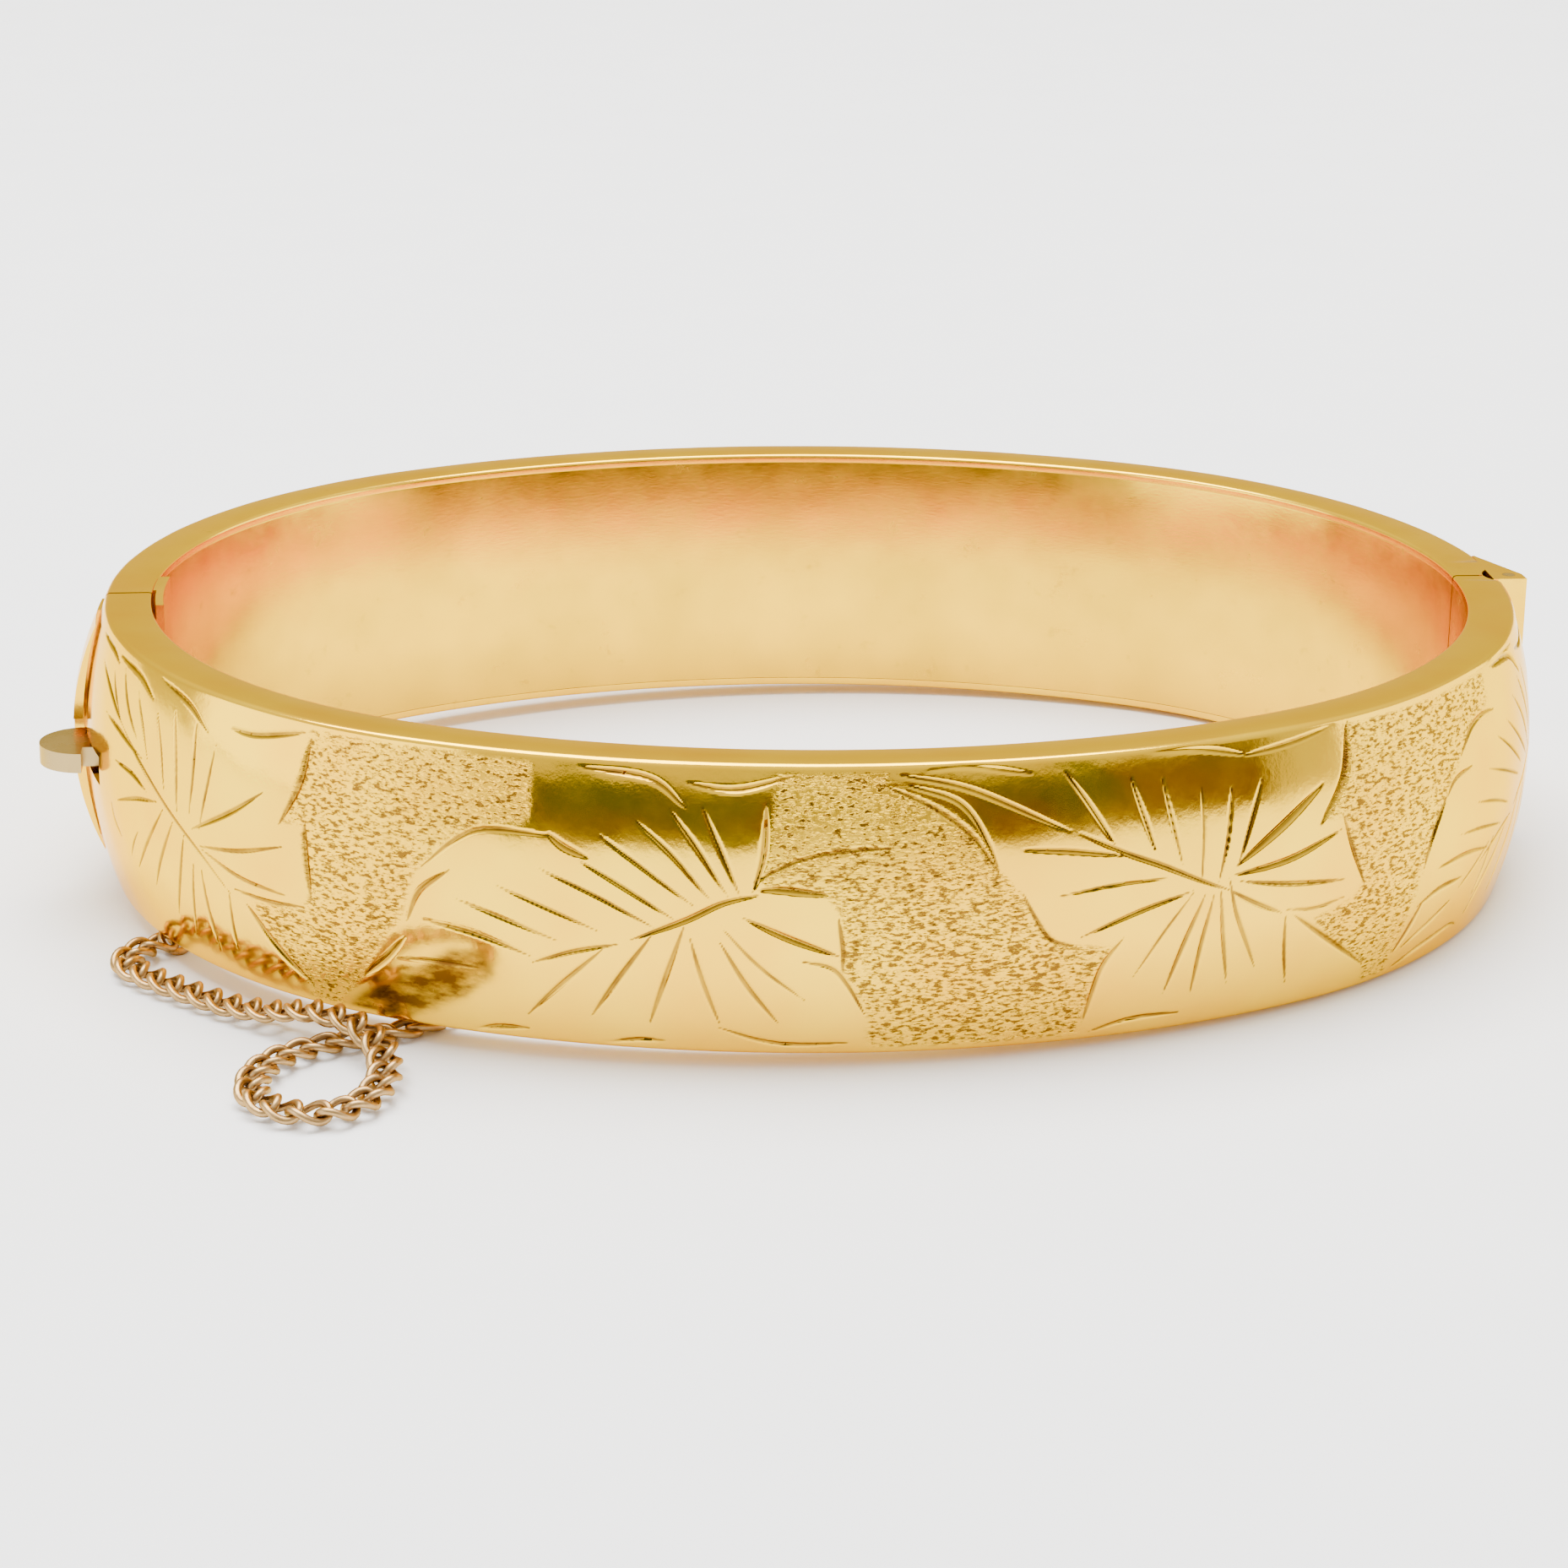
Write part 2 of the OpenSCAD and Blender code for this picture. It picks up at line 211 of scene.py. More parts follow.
def ring_faces(rings, points, closed_rings=False, closed_points=True):
    """Quads between neighbouring rings of points."""
    last = points if closed_points else points - 1
    count = rings if closed_rings else rings - 1
    i = np.repeat(np.arange(count), last)
    j = np.tile(np.arange(last), count)
    i1 = (i + 1) % rings
    j1 = (j + 1) % points
    return np.stack([i * points + j, i1 * points + j, i1 * points + j1, i * points + j1], -1)


def sweep(oval, us, section):
    """Verts of a section, an array of (out, up), carried along the oval at distances us."""
    plan, out = oval.at(us)
    x = plan[:, None, 0] + out[:, None, 0] * section[..., 0]
    y = plan[:, None, 1] + out[:, None, 1] * section[..., 0]
    z = np.broadcast_to(section[..., 1], x.shape)
    return np.stack([x, y, z], -1)


def clear_hinge(band, points, block=False):
    """Pulls a shell's outer skin back round the knuckles, and under the hinge block on the rear half."""
    pin_x = band.long_size / 2 + band.pin_reach
    y = np.abs(points[..., 1])
    clear_x = pin_x - np.sqrt(np.clip(band.knuckle_room ** 2 - y ** 2, 0, None))
    limit = np.where(points[..., 0] > 0, clear_x, 1.0)
    limit = np.where(y < band.knuckle_room, limit, 1.0)
    if block:
        under = (points[..., 0] > 0) & (y < band.block_length)
        limit = np.where(under, np.minimum(limit, band.long_size / 2 - band.block_depth), limit)
    points[..., 0] = np.minimum(points[..., 0], limit)
    return points


def end_faces(rings, count):
    """The two faces that close a swept section."""
    last = (rings - 1) * count
    return [list(range(count))[::-1], [last + k for k in range(count)]]


def swept_piece(name, oval, us, section, material, body):
    """A closed section swept along the oval, with both ends closed."""
    verts = seated(sweep(oval, us, section)).reshape(-1, 3)
    count = len(section)
    faces = [list(f) for f in ring_faces(len(us), count)] + end_faces(len(us), count)
    if oval.side > 0:
        faces = [f[::-1] for f in faces]
    piece = new_piece(name, verts, faces, material, body)
    square_off(piece)
    return piece


def square_off(piece, degrees=40):
    """Keeps edges sharper than this crisp while the rest shades smooth."""
    piece.data.set_sharp_from_angle(angle=math.radians(degrees))


def arc(cx, cy, r, start, end, steps):
    """Points on an arc, in degrees."""
    t = np.radians(np.linspace(start, end, steps))
    return [(cx + r * math.cos(a), cy + r * math.sin(a)) for a in t]


def soft_box(corners, r, steps=4):
    """An outline through corners, taken anticlockwise, with each one rounded to radius r."""
    points = []
    pts = [Vector(c) for c in corners]
    for k, here in enumerate(pts):
        before = (pts[k - 1] - here).normalized()
        after = (pts[(k + 1) % len(pts)] - here).normalized()
        half = before.angle(after) / 2
        reach = r / math.tan(half)
        for s in range(steps + 1):
            t = s / steps
            a = here + before * reach
            b = here + after * reach
            points.append(tuple(a * (1 - t) ** 2 + here * 2 * t * (1 - t) + b * t ** 2))
    return np.array(points)


def dome(band):
    """Radius of the domed face and how far out its centre lies."""
    half = band.height / 2
    radius = (band.crown ** 2 + half ** 2) / (2 * band.crown)
    return radius, band.crown - radius


def face_rows(band, step, rise=0.0):
    """The domed face from its lower rim to its upper one, with worn edges, as (out, up) points."""
    radius, centre = dome(band)
    radius += rise
    half = band.height / 2
    r = band.soft_edge
    edge = math.asin((half - r) / (radius - r))
    count = max(8, int(2 * edge * radius / step))
    a = np.linspace(-edge, edge, count)
    face = [(centre + radius * math.cos(t), half + radius * math.sin(t)) for t in a]
    out = centre + (radius - r) * math.cos(edge)
    degrees = math.degrees(edge)
    lower = arc(out, r, r, -90, -degrees, 6)[:-1]
    upper = arc(out, band.height - r, r, degrees, 90, 6)[1:]
    return np.array(lower + face + upper)


def channel(band, step):
    """The whole section of a half's shell: its face, its two rims and its hollow back."""
    inner_r = 0.6 * band.soft_edge
    face = face_rows(band, step)
    radius, centre = dome(band)
    back_r = radius - band.sheet
    top = band.height - band.sheet
    reach = math.asin((top - band.height / 2) / back_r)
    lip = -band.rim_width
    upper = arc(lip + inner_r, band.height - inner_r, inner_r, 90, 180, LIP_POINTS)
    back = [(centre + back_r * math.cos(t), band.height / 2 + back_r * math.sin(t))
            for t in np.linspace(reach, -reach, BACK_POINTS)]
    lower = arc(lip + inner_r, inner_r, inner_r, 180, 270, LIP_POINTS)
    section = list(face) + upper + [(lip, top)] + back + [(lip, band.sheet)] + lower
    return np.array(section), len(face)


# ---- Materials ----

class Nodes:
    """A short way to write a material's nodes."""

    def __init__(self, name):
        self.material = bpy.data.materials.new(name)
        self.material.use_nodes = True
        self.tree = self.material.node_tree
        self.shader = self.tree.nodes["Principled BSDF"]

    def add(self, kind, **values):
        node = self.tree.nodes.new(kind)
        for key, value in values.items():
            if hasattr(node, key):
                setattr(node, key, value)
            else:
                node.inputs[key.replace("_", " ")].default_value = value
        return node

    def link(self, a, b):
        self.tree.links.new(a, b)

    def place(self, scale):
        """Object coordinates, stretched by scale."""
        coords = self.add("ShaderNodeTexCoord")
        mapping = self.add("ShaderNodeMapping")
        mapping.inputs["Scale"].default_value = scale
        self.link(coords.outputs["Object"], mapping.inputs["Vector"])
        return mapping.outputs["Vector"]

    def noise(self, size, detail=3.0, rough=0.55, stretch=(1, 1, 1)):
        """Soft noise whose features are about size metres across."""
        node = self.add("ShaderNodeTexNoise", Scale=1.0, Detail=detail, Roughness=rough)
        self.link(self.place([s / size for s in stretch]), node.inputs["Vector"])
        return node.outputs["Fac"]

    def cells(self, size, stretch=(1, 1, 1)):
        """Distance to scattered points about size metres apart."""
        node = self.add("ShaderNodeTexVoronoi", Scale=1.0, Randomness=1.0)
        self.link(self.place([s / size for s in stretch]), node.inputs["Vector"])
        return node.outputs["Distance"]

    def painted(self, name):
        node = self.add("ShaderNodeAttribute", attribute_name=name)
        return node.outputs["Fac"]

    def ramp(self, value, low, high, start=0.0, end=1.0):
        node = self.add("ShaderNodeMapRange", clamp=True)
        for key, number in (("From Min", low), ("From Max", high), ("To Min", start), ("To Max", end)):
            node.inputs[key].default_value = number
        self.link(value, node.inputs["Value"])
        return node.outputs["Result"]

    def math(self, operation, a, b):
        node = self.add("ShaderNodeMath", operation=operation)
        for socket, value in zip(node.inputs, (a, b)):
            if isinstance(value, (int, float)):
                socket.default_value = value
            else:
                self.link(value, socket)
        return node.outputs["Value"]

    def mix(self, amount, a, b):
        """Blends two colours, each a colour or a socket."""
        node = self.add("ShaderNodeMix", data_type="RGBA")
        self.link(amount, node.inputs[0])
        for socket, value in ((node.inputs[6], a), (node.inputs[7], b)):
            if isinstance(value, bpy.types.NodeSocket):
                self.link(value, socket)
            else:
                socket.default_value = (*value, 1)
        return node.outputs[2]

    def bump(self, height, depth, strength=1.0, under=None):
        node = self.add("ShaderNodeBump", Strength=strength, Distance=depth)
        self.link(height, node.inputs["Height"])
        if under is not None:
            self.link(under, node.inputs["Normal"])
        return node.outputs["Normal"]

    def finish(self, colour, roughness, normal):
        self.shader.inputs["Metallic"].default_value = 1.0
        self.shader.inputs["Specular Tint"].default_value = (1, 0.8, 0.4, 1)
        self.link(colour, self.shader.inputs["Base Color"])
        self.link(roughness, self.shader.inputs["Roughness"])
        self.link(normal, self.shader.inputs["Normal"])
        return self.material


def plain_gold(name, main, warm, tarnish_and_shade, low_rough, high_rough, brushed=(1, 1, 1), patina=0.25):
    """Polished or satin gold with warmer patches, hairline scratches and a few tarnished spots."""
    n = Nodes(name)
    patches = n.ramp(n.noise(0.006, 2.0), 0.35, 0.7)
    colour = n.mix(patches, main, warm)
    spots = n.ramp(n.noise(0.0011, 4.0, 0.7), 0.62, 0.8, 0.0, patina)
    colour = n.mix(spots, colour, tarnish_and_shade)
    scratches = n.noise(0.00035, 2.0, 0.6, brushed)
    roughness = n.ramp(n.noise(0.0022, 4.0, 0.65), 0.3, 0.75, low_rough, high_rough)
    waves = n.bump(n.noise(0.0035, 1.0), 0.00006, 0.5)
    normal = n.bump(scratches, 0.000006, 0.6, waves)
    return n.finish(colour, roughness, normal)


def engraved_gold(name, main, warm, tarnish_and_shade):
    """Polished leaves, stippled matt ground, darkened cuts and a tarnished patch, from painted masks."""
    n = Nodes(name)
    ground = n.painted("ground")
    cut = n.painted("cut")
    stain = n.painted("stain")
    patches = n.ramp(n.noise(0.005, 2.0), 0.35, 0.7)
    colour = n.mix(patches, main, warm)
    pits = n.ramp(n.cells(0.00019, (0.7, 0.7, 1.3)), 0.05, 0.5)
    flecks = n.ramp(n.noise(0.00017, 3.0, 0.6, (0.5, 0.5, 1.3)), 0.5, 0.6)
    pit_dark = n.math("MULTIPLY", n.math("MULTIPLY", flecks, ground), 0.9)
    colour = n.mix(pit_dark, colour, tarnish_and_shade)
    cut_dark = n.math("MULTIPLY", n.ramp(cut, 0.05, 0.5), n.ramp(n.noise(0.002, 3.0), 0.3, 0.7, 0.55, 0.95))
    colour = n.mix(cut_dark, colour, tarnish_and_shade)
    blotches = n.ramp(n.noise(0.0012, 4.0, 0.65, (0.6, 0.6, 1.4)), 0.28, 0.55)
    stain_dark = n.math("MULTIPLY", n.math("MULTIPLY", stain, blotches), 0.93)
    colour = n.mix(stain_dark, colour, tarnish_and_shade)
    polish = n.ramp(n.noise(0.0022, 4.0, 0.65), 0.3, 0.75, 0.09, 0.17)
    roughness = n.math("ADD", polish, n.math("MULTIPLY", ground, 0.16))
    roughness = n.math("ADD", roughness, n.math("MULTIPLY", stain, 0.15))
    waves = n.bump(n.noise(0.0035, 1.0), 0.00005, 0.5)
    stipple = n.math("MULTIPLY", n.math("ADD", pits, flecks), ground)
    normal = n.bump(stipple, 0.00004, 0.55, waves)
    normal = n.bump(n.noise(0.0003, 2.0, 0.6), 0.000006, 0.6, normal)
    return n.finish(colour, roughness, normal)


def chain_metal(name, main, tarnish_and_shade):
    """Dull rose gold wire, with painted shade where the links hook into each other and on the inner side of the
    wire.
    """
    n = Nodes(name)
    recess_shade = n.painted("recess_shade")
    # Painted shade: the recess mask, broken up by noise, darkens the wire towards the brown where links interlock.
    painted_shade = n.math("MULTIPLY", n.ramp(recess_shade, 0.15, 0.85), n.ramp(n.noise(0.0008, 3.0), 0.25, 0.65, 0.5, 0.95))
    shade = n.ramp(n.noise(0.0004, 3.0), 0.3, 0.7, 0.0, 0.35)
    colour = n.mix(shade, main, tarnish_and_shade)
    colour = n.mix(painted_shade, colour, tarnish_and_shade)
    roughness = n.ramp(n.noise(0.0003, 3.0), 0.3, 0.7, 0.26, 0.42)
    normal = n.bump(n.noise(0.00025, 2.0), 0.00001, 0.7)
    return n.finish(colour, roughness, normal)


FINISHES = {}


def make_finishes(golds):
    """The materials that every piece shares."""
    tarnish_and_shade = tuple(golds.tarnish_and_shade)
    face = tuple(golds.face)
    warm = tuple(golds.face_warm)
    lining = tuple(golds.lining)
    deep = tuple(c * 0.8 for c in lining)
    fittings = tuple(golds.fittings)
    FINISHES["face"] = plain_gold("rolled_gold_face", face, warm, tarnish_and_shade, 0.12, 0.22)
    FINISHES["engraved"] = engraved_gold("rolled_gold_engraved", face, warm, tarnish_and_shade)
    FINISHES["lining"] = plain_gold("satin_gold_lining", lining, deep, tarnish_and_shade, 0.16, 0.3, (1, 1, 3), 0.3)
    FINISHES["fittings"] = plain_gold("fittings_gold", fittings, tuple(c * 0.8 for c in fittings), tarnish_and_shade,
                                      0.2, 0.34, (1, 1, 1), 0.5)
    FINISHES["chain"] = chain_metal("chain_rose_gold", tuple(golds.chain), tarnish_and_shade)


# ---- Engraving, in millimetres: distance along the face from the clasp, and height ----

LEAF_A_CUTS = [
    (0.24, [(4.5, 12.1), (7, 12.0), (8.5, 11.7)]),
    (0.26, [(8.2, 12.1), (11, 11.9), (12.8, 11.3)]),
    (0.3, [(12.9, 12.3), (15.5, 11.8), (17.1, 11)]),
    (0.3, [(18.4, 11.5), (20, 11.5), (22.7, 12.1)]),
    (0.22, [(5.9, 11.2), (7.5, 10.6), (10.2, 9.4)]),
    (0.24, [(7.8, 9.4), (10, 9.1), (12.5, 8.6)]),
    (0.22, [(9.8, 9.6), (12.5, 8.3), (15, 6.9), (17.2, 5.6), (18.9, 4.3)]),
    (0.16, [(7.9, 11.3), (8.8, 10.4), (9.9, 9.5)]),
    (0.16, [(9.2, 11.8), (10.3, 10.5), (11.9, 9.2)]),
    (0.14, [(11.2, 11.3), (12.2, 10), (13, 8.6)]),
    (0.18, [(13.3, 10.9), (14, 9.4), (14.5, 7.7)]),
    (0.24, [(14.6, 11.4), (15.2, 9.3), (15.5, 7.1)]),
    (0.22, [(16.3, 11.3), (16.5, 9.2), (16.4, 7.3)]),
    (0.2, [(17.8, 10.6), (17.5, 8.7), (17.1, 6.8)]),
    (0.3, [(20.9, 9.3), (19, 8), (16.5, 6.6)]),
    (0.28, [(22.1, 7.2), (19.5, 6.4), (17.1, 6)]),
    (0.26, [(22.2, 5), (19.6, 5.2), (17.2, 5.9)]),
    (0.26, [(9.5, 7.7), (11.5, 7.7), (13, 7.3)]),
    (0.26, [(9.7, 5.9), (12, 6.7), (13.9, 7.1)]),
    (0.24, [(14.4, 6.9), (13.2, 5.4), (11.4, 3.2)]),
    (0.16, [(12, 5.2), (11.3, 4.4), (10.8, 3.6)]),
    (0.24, [(15.2, 6.6), (14.1, 4.8), (13, 2.9)]),
    (0.24, [(16, 6.2), (15.4, 4.2), (14.6, 2)]),
    (0.2, [(16.6, 5.2), (16.2, 3.4), (15.8, 1.4)]),
    (0.22, [(17.1, 4.9), (17.2, 3), (17.4, 1.1)]),
    (0.18, [(18.8, 4.3), (18.7, 2.8), (18.7, 1.5)]),
    (0.38, [(23, 11.9), (22.7, 10), (21.8, 8.1)]),
    (0.36, [(23.1, 8.5), (23.2, 7), (23.4, 5.2)]),
    (0.24, [(19.2, 4.6), (21, 4.5), (23.1, 4.7)]),
    (0.4, [(19.8, 4.1), (21.2, 2.4), (22.9, 0.9)]),
    (0.2, [(8.8, 5.6), (9.1, 4.8), (9.9, 4.2)]),
]
LEAF_B_LEFT_CUTS = [
    (0.34, [(27.9, 5), (28.5, 6.4), (29.8, 7.5)]),
    (0.28, [(28.6, 7.5), (30, 8.8), (31.3, 9.4), (33.9, 9.4)]),
    (0.34, [(27.8, 4.3), (26.8, 3.1), (25.6, 2)]),
    (0.3, [(33.9, 9.5), (34.6, 9), (35.6, 8.6)]),
    (0.2, [(27.3, 3.2), (29, 3.3), (31.2, 3.3)]),
    (0.22, [(28.5, 5.2), (31, 4.8), (33.2, 4.1)]),
    (0.18, [(30.1, 6.3), (32, 5.7), (34.4, 4.9)]),
    (0.18, [(31.8, 7.1), (34, 6.3), (36, 5.5)]),
    (0.18, [(33.6, 8), (36, 7), (38.3, 5.8)]),
    (0.2, [(35.2, 8.5), (37, 7.5), (39.1, 6.2)]),
    (0.3, [(30.4, 0.2), (31.5, 0.5), (32.9, 0.6)]),
    (0.26, [(36, 0.2), (37.5, 0.5), (38.7, 0.5)]),
]
LEAF_B_RIGHT_CUTS = [
    (0.16, [(36, 9.6), (38, 8.2), (39.9, 6.8)]),
    (0.18, [(37.4, 10.3), (39, 8.9), (40.6, 7)]),
    (0.2, [(38.8, 10.8), (40, 9.2), (41.2, 7.3)]),
    (0.22, [(40.1, 11), (40.9, 9.2), (41.7, 7.3)]),
    (0.4, [(42.7, 11.1), (42.6, 9), (42.2, 7.5)]),
    (0.34, [(35, 12.2), (38, 11.9), (39.5, 10.8)]),
    (0.34, [(39.5, 11.8), (41.5, 11.6), (43.9, 12.2)]),
    (0.3, [(37.3, 5.2), (39.5, 6.2), (41, 7), (42.5, 7.4)]),
    (0.36, [(42.4, 7.6), (43.5, 7.6), (45.2, 7.4)]),
    (0.3, [(42.2, 7.9), (44, 8.8), (46, 9.2), (47.9, 9.3)]),
    (0.24, [(33.2, 3.8), (35, 4.5), (36.9, 5)]),
    (0.28, [(36.2, 4.7), (34.5, 3), (32.9, 1.3)]),
    (0.3, [(38.2, 5.5), (37, 3.7), (35.6, 1.5)]),
    (0.3, [(39.5, 6), (38.8, 3.8), (38, 1.3)]),
    (0.24, [(39.7, 5.5), (40.2, 3.5), (40.9, 1.4)]),
    (0.26, [(40.9, 5.3), (42, 3.3), (43.3, 1.5)]),
    (0.18, [(41, 5.9), (42.5, 4.2), (44.3, 2.7)]),
    (0.34, [(41.8, 6.4), (43.7, 5.5), (45.7, 4.7)]),
    (0.28, [(45.6, 6.4), (45.8, 5), (45.8, 3.9)]),
    (0.22, [(44.1, 4.5), (45.3, 4.2), (46, 3.4), (46.8, 1.9)]),
    (0.24, [(40.8, 1.3), (42.5, 0.7), (44, 0.5), (46.1, 0.6)]),
]
LEAF_C_CUTS = [
    (0.3, [(47.4, 11.8), (49.5, 10.8), (51, 9.6), (52, 8.1)]),
    (0.26, [(48.3, 11.8), (50.5, 11), (51.6, 9.3), (52.1, 7.8)]),
    (0.26, [(47.9, 12.2), (51, 11.5), (55, 9.6)]),
    (0.28, [(49, 12.3), (51, 12.4), (53.5, 12)]),
    (0.24, [(53, 9), (55, 8.8), (57.3, 8.4)]),
    (0.26, [(55.4, 9.5), (57.4, 8.5), (59, 7.8), (60.8, 6.9), (62.3, 6.2)]),
    (0.26, [(54.9, 12), (55.8, 10.7), (56.9, 8.9)]),
    (0.24, [(57.7, 11.6), (58.2, 10), (58.7, 8.4)]),
    (0.2, [(59.1, 11.5), (59.5, 9.5), (59.9, 7.7)]),
    (0.16, [(60.9, 10.8), (60.9, 9), (60.8, 6.9)]),
    (0.22, [(62.3, 10.6), (62, 8.5), (61.6, 6.7)]),
    (0.22, [(63.8, 10.8), (63.1, 9), (62.5, 7.3)]),
    (0.42, [(66.8, 10.1), (64.5, 8.6), (62.4, 7.3)]),
    (0.32, [(67.7, 8), (65, 7.2), (62.2, 6.9)]),
    (0.26, [(68.1, 5.7), (65, 6.1), (62.6, 6.6)]),
    (0.26, [(64.8, 4.8), (63.4, 5.5), (62.1, 6.3)]),
    (0.16, [(60.5, 6.5), (59.2, 4.8), (58, 2.9)]),
    (0.28, [(61, 6.3), (60.2, 4.2), (59.5, 1.9)]),
    (0.26, [(61.4, 6.2), (61, 4), (60.8, 1.7)]),
    (0.26, [(61.7, 6.4), (62, 4.2), (62.5, 1.9)]),
    (0.26, [(62.1, 6.8), (62.6, 5), (63.8, 2.4)]),
    (0.22, [(65, 4.7), (65.2, 3), (65.6, 1.3)]),
    (0.24, [(60.4, 6.5), (58, 5.9), (55.5, 5)]),
    (0.16, [(54.4, 6.9), (57, 7.2), (59.4, 7.2)]),
    (0.24, [(53, 7.2), (53.6, 6), (54.3, 5), (55.4, 4.6)]),
    (0.28, [(57.4, 4.8), (56.5, 3.4), (56, 0.9)]),
    (0.5, [(68.5, 12.4), (68, 10.2), (66.6, 8.4)]),
    (0.32, [(67.8, 8.7), (68.4, 7), (69.2, 5.2)]),
    (0.18, [(65, 4.9), (66.5, 4.7), (68.1, 4.9)]),
    (0.32, [(65.4, 4.6), (67.5, 3), (70, 1.2)]),
    (0.26, [(56.4, 0.4), (58.2, 0.8), (60.4, 0.8)]),
    (0.3, [(58.5, 12.4), (61, 12.3), (63.2, 11.8)]),
    (0.3, [(63.1, 11.8), (65.5, 12), (68, 12.4)]),
]
LEAF_D_LEFT_CUTS = [
    (0.36, [(72, 1.2), (72.7, 2.2), (73.4, 3.4)]),
    (0.3, [(73, 3.2), (74.5, 3.6), (76.5, 3.6)]),
    (0.24, [(72.5, 1.3), (74.2, 2), (75.9, 2.7)]),
    (0.3, [(72.2, 0.4), (74.3, 0.9), (76.5, 1.2), (77.4, 1)]),
    (0.28, [(74, 4.7), (76.5, 4.7), (78.9, 4.3)]),
    (0.22, [(75.8, 5.8), (78, 5.5), (80.3, 5)]),
    (0.2, [(77.2, 6.9), (79.2, 6.4), (81.2, 5.7)]),
    (0.2, [(78.4, 8.1), (80.5, 7.4), (82.9, 6.5)]),
    (0.18, [(79.5, 9.3), (81.4, 8.2), (83.4, 6.9)]),
    (0.2, [(79, 4.6), (77.9, 3.9), (76.4, 3.1)]),
    (0.34, [(79.5, 4.7), (78.9, 3.3), (78.2, 2.2)]),
    (0.32, [(73, 5), (73.6, 6.6), (74.5, 8)]),
    (0.28, [(74.5, 7.9), (75.3, 8.5), (76.7, 8.7)]),
    (0.32, [(75.8, 9.4), (77, 10.3), (78.3, 10.6), (79.5, 10.5)]),
    (0.22, [(80, 12.4), (82, 12.3), (84, 12.2)]),
]
REPEAT = 45.0
LEAF_AREAS = [
    [(-1, -1), (-1, 14), (23.1, 14), (22.9, 11.9), (22.6, 10), (21.9, 8.2), (22.9, 8.4), (23.4, 5.3),
     (22.9, 4.6),
     (20.2, 4.2), (21.2, 2.6), (22.7, 1), (22.5, -1)],
    [(33.1, 14), (33, 9.9), (31.2, 9.6), (29.6, 8.8), (28.2, 7.2), (27.6, 5.2), (26.8, 4.2),
     (25.6, 2.1), (24.3, 0.6),
     (24, -1), (47, -1), (46.9, 1.9), (46.1, 3.6), (45.8, 4.2), (45.8, 6.4), (45.2, 7.4), (42.6, 7.8),
     (43, 9.6),
     (43.1, 14)],
    [(47.4, 14), (47.6, 11.8), (50, 10.7), (51.3, 9.5), (52.1, 8), (53, 7), (53.7, 5.8), (54.5, 4.9),
     (55.5, 4.6),
     (56.9, 4.4), (56.2, 3), (55.9, 1), (56, -1), (70.5, -1), (70, 1.2), (67.5, 3.1), (66.5, 4.2), (68.6, 4.7),
     (69.1, 5.3), (68.4, 7), (67.9, 8.6), (66.9, 8.6), (68, 10.2), (68.6, 14)],
    [(79, 14), (78.9, 11), (77, 10.5), (75.8, 9.4), (74.5, 8.1), (73.5, 6.6), (72.9, 5), (72.6, 3.6),
     (71.9, 1.4),
     (71.6, -1), (92, -1), (91.9, 1.9), (91.1, 3.6), (90.8, 4.2), (90.8, 6.4), (90.2, 7.4),
     (87.6, 7.8), (88, 9.6),
     (88.1, 14)],
]
STAIN_AREA = [
    (24.2, 0.1), (25.5, 1.2), (28, 2.7), (29.8, 4), (31.2, 4), (31.6, 3), (30.2, 1.8), (28.5, 0.8), (26.6, 0.1)
]


def shifted(cuts, by):
    return [(width, [(u + by, v) for u, v in points]) for width, points in cuts]


def all_cuts():
    """Leaves B and D are the same pattern, a repeat apart, and D's far side is turned out of sight."""
    return (LEAF_A_CUTS + LEAF_B_LEFT_CUTS + LEAF_B_RIGHT_CUTS + LEAF_C_CUTS + LEAF_D_LEFT_CUTS
            + shifted(LEAF_B_RIGHT_CUTS, REPEAT))


def smooth_line(points, steps=10):
    """A curve through the points."""
    p = np.array(points, float)
    p = np.vstack([2 * p[0] - p[1], p, 2 * p[-1] - p[-2]])
    t = np.linspace(0, 1, steps, endpoint=False)[:, None]
    parts = []
    for a, b, c, d in zip(p[:-3], p[1:-2], p[2:-1], p[3:]):
        parts.append(0.5 * (2 * b + (c - a) * t + (2 * a - 5 * b + 4 * c - d) * t ** 2
                            + (3 * b - a - 3 * c + d) * t ** 3))
    return np.vstack(parts + [p[-2:-1]])


def inside(area, u, v):
    """True where (u, v) lies inside the outline."""
    hit = np.zeros(u.shape, bool)
    pts = np.array(area, float)
    for (u0, v0), (u1, v1) in zip(pts, np.roll(pts, -1, axis=0)):
        if v0 == v1:
            continue
        crosses = (v0 > v) != (v1 > v)
        hit ^= crosses & (u < (u1 - u0) * (v - v0) / (v1 - v0) + u0)
    return hit


def blurred(mask, times):
    """Softens a mask by averaging each point with its neighbours."""
    m = mask.astype(float)
    for _ in range(times):
        m[1:-1] = (m[:-2] + m[1:-1] + m[2:]) / 3
        m[:, 1:-1] = (m[:, :-2] + m[:, 1:-1] + m[:, 2:]) / 3
    return m


